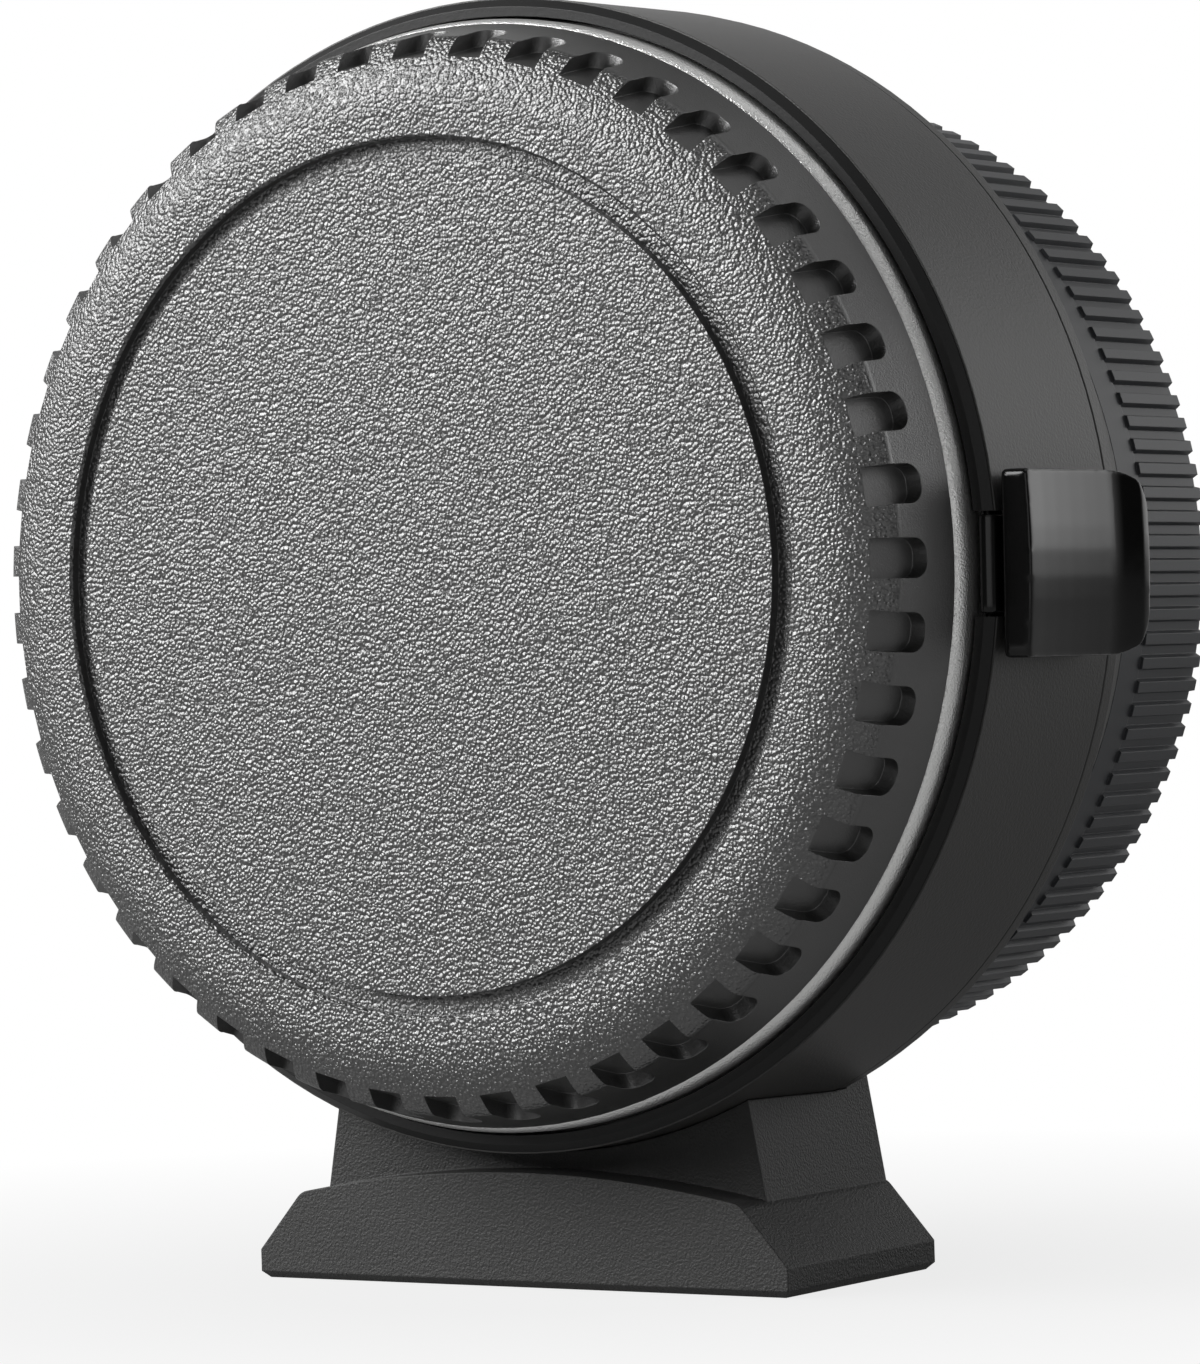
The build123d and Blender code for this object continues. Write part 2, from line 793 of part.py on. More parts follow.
bracket_wall_inner = bracket_wall_half - bracket_sheet
bracket_pieces = [
    block(bracket_x, (bracket_inside, bracket_back), (-bracket_wall_half, bracket_wall_half)),
    block(bracket_x, (web_back, bracket_back), (bracket_wall_inner, bracket_wall_half)),
    block(bracket_x, (web_back, bracket_back), (-bracket_wall_half, -bracket_wall_inner)),
    block(bracket_x, (web_back, bracket_screw_y), (bracket_wall_inner, bracket_foot_half)),
    block(bracket_x, (web_back, bracket_screw_y), (-bracket_foot_half, -bracket_wall_inner)),
]

with BuildPart() as lock_bracket:
    add(lever_side(bracket_pieces))
    add(bracket_screw_holes, mode=Mode.SUBTRACT)

with BuildPart() as bracket_screws:
    add(lever_side([back_screw.moved(place) for place in bracket_places]))

# Lens contacts: a block on two ears, eight sleeves and the sprung pins in them

contact_inner = contact_radius - contact_block_width / 2
contact_outer = contact_radius + contact_block_width / 2
contact_angles = [
    270 + contact_pitch_angle * (i - (contact_count - 1) / 2) for i in range(contact_count)
]
sleeve_radius = contact_pin_radius + running_gap + contact_sleeve_wall
sleeve_holes = placed(rod(sleeve_radius, web_back - overrun, sleeve_back), contact_radius, 0, contact_angles)
contact_body = sector(contact_inner, contact_outer, web_back, contact_block_back, 270, contact_block_span)
contact_plate_span = contact_block_span + 2 * contact_ear_span
contact_plate = sector(contact_inner, contact_outer, web_back, contact_screw_y, 270, contact_plate_span)
contact_ears = sectors(
    contact_inner,
    contact_ear_radius + m1_head,
    web_back,
    contact_screw_y,
    contact_ear_angles,
    contact_ear_span,
)

with BuildPart() as contact_block:
    add([contact_body, contact_plate])
    add(contact_ears)
    add(sleeve_holes, mode=Mode.SUBTRACT)
    add(contact_screw_holes, mode=Mode.SUBTRACT)

with BuildPart() as contact_block_screws:
    add(placed(back_screw, contact_ear_radius, contact_screw_y, contact_ear_angles))

with BuildPart() as sleeve:
    add(rod(sleeve_radius, web_back, sleeve_back))
    add(
        rod(contact_pin_radius, web_back - overrun, sleeve_back - contact_sleeve_end, running_gap),
        mode=Mode.SUBTRACT,
    )

with BuildPart() as contact_sleeves:
    add(placed(sleeve.part, contact_radius, 0, contact_angles))

with BuildPart() as contact_pin:
    add(rod(contact_pin_radius, web_back - contact_pin_reach, web_back + contact_pin_tail))
    fillet(contact_pin.faces().sort_by(Axis.Y)[0].edges(), radius=contact_pin_radius / 2)

with BuildPart() as contact_pins:
    add(placed(contact_pin.part, contact_radius, 0, contact_angles))

# Circuit board: a C-shaped ring, open where the lens lock sits, with its chips and connectors

connector_height = flex_front - board_back
chip_block = block(
    (connector_radius - chip_size / 2, connector_radius + chip_size / 2),
    (board_back, board_back + chip_height),
    (-chip_size / 2, chip_size / 2),
)
contact_connector = block(
    (connector_radius - connector_depth / 2, connector_radius + connector_depth / 2),
    (board_back, board_back + connector_height),
    (-contact_flex_width / 2, contact_flex_width / 2),
)
rear_connector = block(
    (connector_radius - connector_depth / 2, connector_radius + connector_depth / 2),
    (board_back, board_back + connector_height),
    (-rear_flex_width / 2, rear_flex_width / 2),
)
board_centre = 180.0
board_ring = sector(board_inner, board_outer, board_front, board_back, board_centre, 360 - board_gap_span)

with BuildPart() as circuit_board:
    add(board_ring)
    add(board_screw_holes, mode=Mode.SUBTRACT)

with BuildPart() as board_parts:
    add(turned(chip_block, chip_angles))
    add(turned(contact_connector, [270.0]))
    add(turned(rear_connector, [rear_flex_angle]))

with BuildPart() as board_screws:
    add(placed(back_screw, board_screw_radius, board_back, board_screw_angles))

# Flexible circuits: one lies on the sleeves, the other runs back along the baffle

contact_sheet_span = contact_pitch_angle * (contact_count + 1)
contact_sheet = sector(contact_inner, contact_outer, flex_front, flex_back, 270, contact_sheet_span)
contact_tongue = block(
    (contact_outer - overrun, connector_radius + connector_depth / 2),
    (flex_front, flex_back),
    (-contact_flex_width / 2, contact_flex_width / 2),
)

with BuildPart() as contact_flex:
    add(contact_sheet)
    add(turned(contact_tongue, [270.0]))

flex_half = flex_thickness / 2
rear_flex_turn = baffle_flange_front - 2 * flex_thickness
rear_flex_end = rear_contact_radius + flex_half
rear_flex_start = rear_flex_radius - flex_half
rear_flex_runs = [
    block(
        (rear_flex_start, connector_radius + connector_depth / 2),
        (flex_front, flex_back),
        (-rear_flex_width / 2, rear_flex_width / 2),
    ),
    block(
        (rear_flex_start, rear_flex_start + flex_thickness),
        (flex_front, rear_flex_turn),
        (-rear_flex_width / 2, rear_flex_width / 2),
    ),
    block(
        (rear_flex_end - flex_thickness, rear_flex_start + flex_thickness),
        (rear_flex_turn - flex_thickness, rear_flex_turn),
        (-rear_flex_width / 2, rear_flex_width / 2),
    ),
    block(
        (rear_flex_end - flex_thickness, rear_flex_end),
        (rear_flex_turn - flex_thickness, rear_block_front),
        (-rear_flex_width / 2, rear_flex_width / 2),
    ),
]

with BuildPart() as rear_flex_strip:
    add(rear_flex_runs)

with BuildPart() as rear_flex:
    add(turned(rear_flex_strip.part, [rear_flex_angle]))

# Baffle: light tube whose flange is trapped under the camera mount ring

baffle_window = block(
    (baffle_radius - overrun, baffle_outer + overrun),
    (rear_flex_turn - 2 * overrun, cover_back + overrun),
    (-rear_flex_width / 2 - sliding_gap, rear_flex_width / 2 + sliding_gap),
)

with BuildPart() as baffle:
    with BuildSketch(section):
        with BuildLine():
            Polyline(
                (baffle_radius, baffle_front),
                (baffle_outer, baffle_front),
                (baffle_outer, baffle_flange_front),
                (baffle_flange_radius, baffle_flange_front),
                (baffle_flange_radius, cover_back),
                (baffle_radius, cover_back),
                close=True,
            )
        make_face()
    revolve(axis=optical_axis)
    add(turned(baffle_window, [rear_flex_angle]), mode=Mode.SUBTRACT)

# Rear cover: spigot, band and cone down to the camera mount ring's seat

camera_screw_length = camera_ring_thickness + cover_wall - sliding_gap
camera_screw = flat_screw(m2_shank, camera_screw_head, m2_head_height, camera_screw_length)
camera_hole = flat_hole(m2_shank, camera_screw_head, m2_head_height, camera_screw_length)
camera_holes = placed(
    camera_hole.rotate(Axis.Z, 180), camera_screw_radius, camera_face, camera_screw_angles
)
cover_shoulder_radius = cover_band_radius - cover_shoulder
cover_seat_radius = baffle_flange_radius + joint_gap
cover_window_radius = rear_flex_radius + 2 * flex_thickness

with BuildPart() as rear_cover:
    with BuildSketch(section):
        with BuildLine():
            Polyline(
                (cover_spigot_inner, barrel_rear - cover_spigot),
                (cover_spigot_radius, barrel_rear - cover_spigot),
                (cover_spigot_radius, barrel_rear),
                (cover_band_radius - seam_chamfer, barrel_rear),
                (cover_band_radius, barrel_rear + seam_chamfer),
                (cover_band_radius, cover_band_end),
                (cover_shoulder_radius, cover_shoulder_end),
                (cover_end_radius, cover_back),
                (cover_seat_radius, cover_back),
                (cover_seat_radius, baffle_flange_front),
                (cover_window_radius, baffle_flange_front),
                (cover_window_radius, cover_wall_front),
                (cover_spigot_inner - cover_wall, cover_wall_front),
                (cover_spigot_inner, cover_band_end),
                close=True,
            )
        make_face()
    revolve(axis=optical_axis)
    add(camera_holes, mode=Mode.SUBTRACT)

# Camera mount ring: flange, tube and three tabs

camera_tabs = sectors(
    camera_tube_radius + camera_tube_wall / 2, camera_tab_radius, camera_tab_front, camera_tab_back,
    camera_tab_angles, camera_tab_span,
)
rear_block_screw = pan_screw(m1_shank, m1_head, m1_head_height, camera_tube_outer - rear_contact_radius)
rear_block_hole = rod(m1_shank, -overrun, camera_tube_outer - rear_contact_radius, screw_gap)
rear_block_bore = rod(m1_head, -rear_block_width, 0, sliding_gap / 2)
rear_screw_y = (camera_face + camera_tab_front) / 2
rear_screw_angles = (270 - rear_block_screw_offset, 270 + rear_block_screw_offset)
rear_block_holes = placed(
    rear_block_hole.rotate(Axis.Z, -90), rear_contact_radius, rear_screw_y, rear_screw_angles
)
rear_block_bores = placed(
    rear_block_bore.rotate(Axis.Z, -90), rear_contact_radius, rear_screw_y, rear_screw_angles
)

with BuildPart() as camera_mount_ring:
    with BuildSketch(section):
        with BuildLine():
            Polyline(
                (camera_tube_radius, cover_back),
                (camera_ring_radius, cover_back),
                (camera_ring_radius, camera_face),
                (camera_tube_outer, camera_face),
                (camera_tube_outer, camera_tube_end),
                (camera_tube_radius, camera_tube_end),
                close=True,
            )
        make_face()
    revolve(axis=optical_axis)
    add(camera_tabs)
    add(camera_holes, mode=Mode.SUBTRACT)
    add(rear_block_holes, mode=Mode.SUBTRACT)

with BuildPart() as camera_ring_screws:
    add(placed(camera_screw.rotate(Axis.Z, 180), camera_screw_radius, camera_face, camera_screw_angles))

# Camera contacts: a block inside the tube, with gold pads on its rear face

rear_pad = block(
    (rear_contact_radius - rear_contact_size / 2, rear_contact_radius + rear_contact_size / 2),
    (rear_block_back - rear_contact_depth, rear_block_back),
    (-rear_contact_size / 2, rear_contact_size / 2),
)
rear_pad_angles = [
    270 + rear_contact_pitch_angle * (i - (rear_contact_count - 1) / 2) for i in range(rear_contact_count)
]
rear_pads = turned(rear_pad, rear_pad_angles)
rear_block_body = sector(
    rear_block_inner, rear_block_outer, rear_block_front, rear_block_back, 270, rear_block_span
)

with BuildPart() as rear_contact_block:
    add(rear_block_body)
    add(rear_pads, mode=Mode.SUBTRACT)
    add(rear_block_holes, mode=Mode.SUBTRACT)
    add(rear_block_bores, mode=Mode.SUBTRACT)

with BuildPart() as rear_contacts:
    add(rear_pads)

with BuildPart() as rear_block_screws:
    add(placed(rear_block_screw.rotate(Axis.Z, -90), rear_contact_radius, rear_screw_y, rear_screw_angles))

# Rear cap: a ribbed cup with an inner ring whose lugs hook under the camera tabs

rear_lug_back = camera_tab_front - 2 * tab_gap
rear_lugs = sectors(
    rear_cap_lug_radius, rear_cap_ring_inner + rear_cap_ring_wall / 2, rear_lug_back - rear_cap_lug_thickness,
    rear_lug_back, camera_tab_angles, rear_cap_lug_span,
)
rear_ring_front = camera_face + sliding_gap
rib_pitch = 360 / rib_count
rib_slope_share = (1 - rib_crest_share - rib_floor_share) / 2
rib_bed_radius = rib_root_radius - rib_height


def rib_outline():
    # One rib after another: rising flank, crest, falling flank, floor
    points = []
    for i in range(rib_count):
        share = 0.0
        for step, radius in (
            (rib_floor_share, rib_root_radius),
            (rib_slope_share, rib_root_radius),
            (rib_crest_share, rib_crest_radius),
            (rib_slope_share, rib_crest_radius),
        ):
            angle = radians(rib_pitch * (i + share))
            points.append((radius * cos(angle), radius * sin(angle)))
            share += step
    return points


with BuildPart() as rear_cap:
    with BuildSketch(section):
        with BuildLine():
            Polyline(
                (0, rear_cap_inside),
                (rear_cap_ring_inner, rear_cap_inside),
                (rear_cap_ring_inner, rear_ring_front),
                (rear_cap_ring_outer, rear_ring_front),
                (rear_cap_ring_outer, rear_cap_inside),
                (rear_cap_bore, rear_cap_inside),
                (rear_cap_bore, rear_cap_front),
                (rear_cap_radius, rear_cap_front),
                (rear_cap_radius, rib_start),
                (rib_bed_radius, rib_start),
                (rib_bed_radius, rib_end),
            )
            RadiusArc(
                (rib_bed_radius, rib_end), (rib_bed_radius - rear_cap_round, rear_cap_back), -rear_cap_round
            )
            Polyline(
                (rib_bed_radius - rear_cap_round, rear_cap_back), (0, rear_cap_back), (0, rear_cap_inside)
            )
        make_face()
    revolve(axis=optical_axis)
    with BuildSketch(facing(rib_start)):
        with BuildLine():
            Polyline(*rib_outline(), close=True)
        make_face()
        Circle(rib_bed_radius - rib_height, mode=Mode.SUBTRACT)
    extrude(amount=rib_start - rib_end)
    add(rear_lugs)

# Tripod foot: a base with sloped ends and a crowned ledge, and a neck shaped to the barrel

half_base = foot_width / 2
half_ledge = foot_ledge_width / 2
neck_half_top = half_ledge - neck_draft * (neck_top - foot_ledge_height)
neck_half_root = half_ledge + neck_draft * (foot_ledge_height - foot_edge)
socket_bore = rod(bush_radius, 0, bush_length).rotate(Axis.X, 90)

with BuildPart() as saddle:
    with BuildSketch(section):
        with BuildLine():
            Polyline(
                (0, lens_face),
                (barrel_front_radius + joint_gap, lens_face),
                (barrel_front_radius + joint_gap, barrel_front),
                (barrel_rear_radius + joint_gap, barrel_rear + joint_gap),
                (cover_band_radius + joint_gap, barrel_rear + joint_gap),
                (cover_band_radius + joint_gap, cover_band_end + joint_gap),
                (cover_shoulder_radius + joint_gap, cover_shoulder_end + joint_gap),
                (cover_end_radius + joint_gap, cover_back + overrun),
                (0, cover_back + overrun),
                close=True,
            )
        make_face()
    revolve(axis=optical_axis)

with BuildPart() as tripod_foot:
    with BuildSketch(Plane.XZ.offset(foot_depth / 2)) as base_outline:
        with BuildLine():
            Polyline(
                (-half_ledge, foot_ledge_height),
                (-half_base, foot_edge),
                (-half_base, 0),
                (half_base, 0),
                (half_base, foot_edge),
                (half_ledge, foot_ledge_height),
            )
            ThreePointArc(
                (half_ledge, foot_ledge_height),
                (0, foot_ledge_height + foot_crown),
                (-half_ledge, foot_ledge_height),
            )
        make_face()
        fillet(base_outline.vertices().group_by(Axis.Y)[-1], radius=foot_corner)
    extrude(amount=-foot_depth)
    chamfer(tripod_foot.faces().sort_by(Axis.Z)[0].edges(), length=foot_chamfer)
    with BuildSketch(Plane.XZ.offset(-neck_front)):
        with BuildLine():
            Polyline(
                (-neck_half_root, foot_edge),
                (neck_half_root, foot_edge),
                (neck_half_top, neck_top),
                (-neck_half_top, neck_top),
                close=True,
            )
        make_face()
    extrude(amount=neck_front - neck_back)
    add(saddle.part, mode=Mode.SUBTRACT)
    add(foot_holes, mode=Mode.SUBTRACT)
    add(foot_bores, mode=Mode.SUBTRACT)
    add(socket_bore, mode=Mode.SUBTRACT)

# Tripod bush: the threaded socket, drawn at the thread's nominal radius

with BuildPart() as tripod_bush:
    with BuildSketch(Plane.XY):
        Circle(bush_radius)
        Circle(socket_radius, mode=Mode.SUBTRACT)
    extrude(amount=bush_length)

# Every finished piece under its own name

pieces = {
    "front_cap": front_cap,
    "lens_mount_ring": lens_mount_ring,
    "lens_ring_screws": lens_ring_screws,
    "bayonet_springs": bayonet_springs,
    "collar_ring": collar_ring,
    "barrel": barrel,
    "release_lever": release_lever,
    "lock_pin": lock_pin,
    "lock_spring": lock_spring,
    "lock_bracket": lock_bracket,
    "bracket_screws": bracket_screws,
    "contact_block": contact_block,
    "contact_block_screws": contact_block_screws,
    "contact_sleeves": contact_sleeves,
    "contact_pins": contact_pins,
    "circuit_board": circuit_board,
    "board_parts": board_parts,
    "board_screws": board_screws,
    "contact_flex": contact_flex,
    "rear_flex": rear_flex,
    "baffle": baffle,
    "rear_cover": rear_cover,
    "camera_mount_ring": camera_mount_ring,
    "camera_ring_screws": camera_ring_screws,
    "rear_contact_block": rear_contact_block,
    "rear_contacts": rear_contacts,
    "rear_block_screws": rear_block_screws,
    "rear_cap": rear_cap,
    "tripod_foot": tripod_foot,
    "foot_screws": foot_screws,
    "tripod_bush": tripod_bush,
}

os.makedirs("parts", exist_ok=True)
for name, piece in pieces.items():
    piece.part.label = name
    export_step(piece.part, f"parts/{name}.step")
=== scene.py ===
import json
import math

import bpy
from mathutils import Matrix, Vector


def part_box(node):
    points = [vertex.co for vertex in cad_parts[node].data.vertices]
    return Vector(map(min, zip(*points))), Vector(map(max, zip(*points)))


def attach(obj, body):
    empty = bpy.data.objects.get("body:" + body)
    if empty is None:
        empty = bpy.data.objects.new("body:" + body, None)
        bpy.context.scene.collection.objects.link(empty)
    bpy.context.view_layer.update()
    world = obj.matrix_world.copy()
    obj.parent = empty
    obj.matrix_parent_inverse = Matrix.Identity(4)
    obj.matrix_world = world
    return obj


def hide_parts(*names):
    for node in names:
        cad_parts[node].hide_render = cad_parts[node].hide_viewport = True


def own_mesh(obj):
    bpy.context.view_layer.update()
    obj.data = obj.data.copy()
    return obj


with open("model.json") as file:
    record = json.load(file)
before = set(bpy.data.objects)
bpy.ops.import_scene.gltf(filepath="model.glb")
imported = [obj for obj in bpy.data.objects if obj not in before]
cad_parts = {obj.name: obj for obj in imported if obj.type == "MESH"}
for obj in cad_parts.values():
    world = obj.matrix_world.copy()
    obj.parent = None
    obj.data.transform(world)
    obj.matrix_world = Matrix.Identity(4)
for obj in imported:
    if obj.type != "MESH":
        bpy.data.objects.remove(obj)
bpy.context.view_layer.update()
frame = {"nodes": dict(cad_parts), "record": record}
nodes = frame["nodes"]
mm = 0.001
print("frame loaded:", len(nodes), "nodes")

# places along the optical axis, read from the frame
axisHeight = sum(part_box("barrel")[i].z for i in (0, 1)) / 2
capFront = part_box("front_cap")[0].y
axisPoint = Vector((0, capFront, axisHeight))   # centre of the cap's face


# camera

viewFrom = {
    "azimuth": 33.526,     # degrees to the lever's side
    "elevation": 0.159,
    "roll": -1.768,
    "distance": 327.397 * mm,
    "slideRight": 10.306 * mm,
    "slideUp": -6.265 * mm,
    "focal": 151.91, "sensor": 36,
    "near": 10 * mm,
}


def addCamera(s):
    az, el, roll = (math.radians(s[k]) for k in ("azimuth", "elevation", "roll"))
    back = Vector((math.sin(az) * math.cos(el), -math.cos(az) * math.cos(el), math.sin(el)))
    right = Vector((math.cos(az), math.sin(az), 0))
    up = back.cross(right)
    place = axisPoint + s["slideRight"] * right + s["slideUp"] * up + s["distance"] * back
    rolledRight = math.cos(roll) * right + math.sin(roll) * up
    rolledUp = math.cos(roll) * up - math.sin(roll) * right
    turn = Matrix((rolledRight, rolledUp, back)).transposed()
    bpy.ops.object.camera_add(location=place, rotation=turn.to_euler())
    camera = bpy.context.object
    camera.name = "studioCamera"
    camera.data.lens = s["focal"]
    camera.data.sensor_width = s["sensor"]
    camera.data.clip_start = s["near"]
    bpy.context.scene.camera = camera


addCamera(viewFrom)
print("camera placed")


# light and floor

lamps = {     # square lamps, each aimed at a height over the middle of the foot
    "keyLeft": {"at": (-0.57, -0.46, 0.49), "aim": 0.041, "size": 0.6, "power": 13.5},
    "fillBack": {"at": (0.44, 0.66, 0.29), "aim": 0.29, "size": 0.46, "power": 0.85},
    "overTop": {"at": (0.20, 0.15, 0.75), "aim": 0.041, "size": 0.6, "power": 0.9, "glossOnly": True},
    "cardRight": {"at": (0.55, -0.55, 0.25), "aim": 0.041, "size": 0.5, "power": 0.8, "glossOnly": True},
}
floorLook = {
    "size": 6.0,
    "level": -0.02 * mm,      # just clear of the foot
    "tone": 0.25,
    "white": (0.82, 1.0),     # share of white that shows, under the object and far away; the lower share under the object paints a grey shade round it, beside the real shadow from the lamps
    "reach": (0.02, 0.10),
    "gloss": 0.22,            # share of it that reflections show
}
worldLook = {
    "white": 1.0,
    "sweep": 0.85,            # the sweep behind, as gloss shows it
    "ambient": 0.12,          # what falls on the object from all round
    "room": 0.05,             # the dim room that gloss shows in front and above
    "behind": (0.25, 0.70),   # the white sweep starts and is full, by direction along the axis
    "above": (0.75, 0.45),    # it ends and is still full, by height
}


def addLamp(name, s):
    bpy.ops.object.light_add(type="AREA", location=s["at"])
    lamp = bpy.context.object
    lamp.name = name
    lamp.data.shape = "SQUARE"
    lamp.data.size = s["size"]
    lamp.data.energy = s["power"]
    lamp.visible_diffuse = not s.get("glossOnly", False)
    aim = Vector((0, 0, s["aim"])) - lamp.location
    lamp.rotation_euler = aim.to_track_quat("-Z", "Y").to_euler()


def mathNode(tree, operation, first, second):
    node = tree.nodes.new("ShaderNodeMath")
    node.operation = operation
    for socket, value in zip(node.inputs, (first, second)):
        if isinstance(value, float):
            socket.default_value = value
        else:
            tree.links.new(value, socket)
    return node.outputs[0]


def rangeNode(tree, value, start, end, low, high):
    node = tree.nodes.new("ShaderNodeMapRange")
    node.inputs["From Min"].default_value = start
    node.inputs["From Max"].default_value = end
    node.inputs["To Min"].default_value = low
    node.inputs["To Max"].default_value = high
    tree.links.new(value, node.inputs["Value"])
    return node.outputs[0]


def addFloor(s):
    bpy.ops.object.select_all(action="DESELECT")
    bpy.ops.mesh.primitive_plane_add(size=s["size"], location=(0, 0, s["level"]))
    floor = bpy.context.object
    floor.name = "studioFloor"
    mat = bpy.data.materials.new("paleFloor")
    mat.use_nodes = True
    tree = mat.node_tree
    tree.nodes.clear()
    out = tree.nodes.new("ShaderNodeOutputMaterial")
    mix = tree.nodes.new("ShaderNodeMixShader")
    paint = tree.nodes.new("ShaderNodeBsdfDiffuse")
    glow = tree.nodes.new("ShaderNodeEmission")
    path = tree.nodes.new("ShaderNodeLightPath")
    paint.inputs["Color"].default_value = (s["tone"], s["tone"], s["tone"], 1)
    place = tree.nodes.new("ShaderNodeTexCoord")
    away = tree.nodes.new("ShaderNodeVectorMath")
    away.operation = "LENGTH"
    tree.links.new(place.outputs["Object"], away.inputs[0])
    # painted shade: the floor's white falls off toward the object, greying it round the foot, and the lamps'
    # real shadow shows within that grey
    white = rangeNode(tree, away.outputs["Value"], *s["reach"], *s["white"])
    gloss = mathNode(tree, "MULTIPLY", path.outputs["Is Glossy Ray"], s["gloss"])
    seen = mathNode(tree, "MAXIMUM", path.outputs["Is Camera Ray"], path.outputs["Is Transmission Ray"])
    shown = mathNode(tree, "MAXIMUM", seen, gloss)
    tree.links.new(mathNode(tree, "MULTIPLY", shown, white), mix.inputs[0])
    tree.links.new(paint.outputs[0], mix.inputs[1])
    tree.links.new(glow.outputs[0], mix.inputs[2])
    tree.links.new(mix.outputs[0], out.inputs[0])
    floor.data.materials.append(mat)


def setWorld(s):
    world = bpy.data.worlds.new("studioWorld")
    world.use_nodes = True
    bpy.context.scene.world = world
    tree = world.node_tree
    sky = tree.nodes["Background"]
    sky.inputs["Color"].default_value = (1, 1, 1, 1)
    path = tree.nodes.new("ShaderNodeLightPath")
    way = tree.nodes.new("ShaderNodeTexCoord")
    split = tree.nodes.new("ShaderNodeSeparateXYZ")
    tree.links.new(way.outputs["Generated"], split.inputs[0])
    behind = rangeNode(tree, split.outputs["Y"], *s["behind"], 0.0, s["sweep"])
    above = rangeNode(tree, split.outputs["Z"], *s["above"], 0.0, 1.0)
    sweep = mathNode(tree, "MAXIMUM", mathNode(tree, "MULTIPLY", behind, above), s["room"])
    gloss = mathNode(tree, "MULTIPLY", sweep, path.outputs["Is Glossy Ray"])
    seen = mathNode(tree, "MAXIMUM", path.outputs["Is Camera Ray"], path.outputs["Is Transmission Ray"])
    shown = mathNode(tree, "MAXIMUM", gloss, mathNode(tree, "MULTIPLY", seen, s["white"]))
    diffuse = mathNode(tree, "MULTIPLY", path.outputs["Is Diffuse Ray"], s["ambient"])
    tree.links.new(mathNode(tree, "MAXIMUM", shown, diffuse), sky.inputs["Strength"])


bpy.context.scene.view_settings.view_transform = "Standard"
for name, settings in lamps.items():
    addLamp(name, settings)
addFloor(floorLook)
setWorld(worldLook)
print("light and floor set")


# materials

edgeSamples = 6
slowDrift = 8 * mm        # size of the patches over which a tone drifts


def startMaterial(name, tone, rough, metal=0.0, specular=0.5):
    mat = bpy.data.materials.new(name)
    mat.use_nodes = True
    bsdf = mat.node_tree.nodes["Principled BSDF"]
    bsdf.inputs["Base Color"].default_value = (*tone, 1)
    bsdf.inputs["Roughness"].default_value = rough
    bsdf.inputs["Metallic"].default_value = metal
    bsdf.inputs["Specular IOR Level"].default_value = specular
    return mat, mat.node_tree, bsdf


def roundedEdges(tree, radius):
    # softens the shading along sharp edges, as a worn mould or a paint film does
    edge = tree.nodes.new("ShaderNodeBevel")
    edge.samples = edgeSamples
    edge.inputs["Radius"].default_value = radius
    return edge.outputs["Normal"]


def noiseHeight(tree, coords, size, detail=2.0, rough=0.5):
    noise = tree.nodes.new("ShaderNodeTexNoise")
    noise.inputs["Scale"].default_value = 1 / size
    noise.inputs["Detail"].default_value = detail
    noise.inputs["Roughness"].default_value = rough
    tree.links.new(coords, noise.inputs["Vector"])
    return noise.outputs["Fac"]


def bumpOn(tree, height, strength, depth, under=None):
    bump = tree.nodes.new("ShaderNodeBump")
    bump.inputs["Distance"].default_value = depth
    if isinstance(strength, float):
        bump.inputs["Strength"].default_value = strength
    else:
        tree.links.new(strength, bump.inputs["Strength"])
    tree.links.new(height, bump.inputs["Height"])
    if under is not None:
        tree.links.new(under, bump.inputs["Normal"])
    return bump.outputs["Normal"]


def objectCoords(tree):
    coords = tree.nodes.new("ShaderNodeTexCoord")
    return coords.outputs["Object"], coords.outputs["Normal"]


def toneBetween(tree, bsdf, share, low, high):
    ramp = tree.nodes.new("ShaderNodeValToRGB")
    ramp.color_ramp.elements[0].color = (*low, 1)
    ramp.color_ramp.elements[1].color = (*high, 1)
    tree.links.new(share, ramp.inputs["Fac"])
    tree.links.new(ramp.outputs["Color"], bsdf.inputs["Base Color"])


capBlack = {
    "low": (0.004, 0.004, 0.004), "high": (0.036, 0.036, 0.035),
    "rough": 0.36, "specular": 0.92, "ior": 1.7,
    "pebble": 0.205 * mm, "stray": 0.10 * mm, "depth": 0.11 * mm, "melt": 0.5,
    "pitShadeRange": (0.60, 0.15),           # painted shade: the pits between the pebbles are darkened to the low tone, their tops reach the high one
    "side": 0.6,                   # tone of the rim, between low and high
    "drift": 0.25, "driftSize": 6 * mm,
    "fine": 0.12 * mm, "fineDetail": 3.0, "fineRough": 0.6, "wrinkle": 0.25,
    "faceTurn": (-0.30, -0.50),    # how far a surface must face forward to be pebbled
    "faceDepth": (2.7 * mm, 2.3 * mm),    # and how far back the pebbles end
    "edge": 0.08 * mm,
}


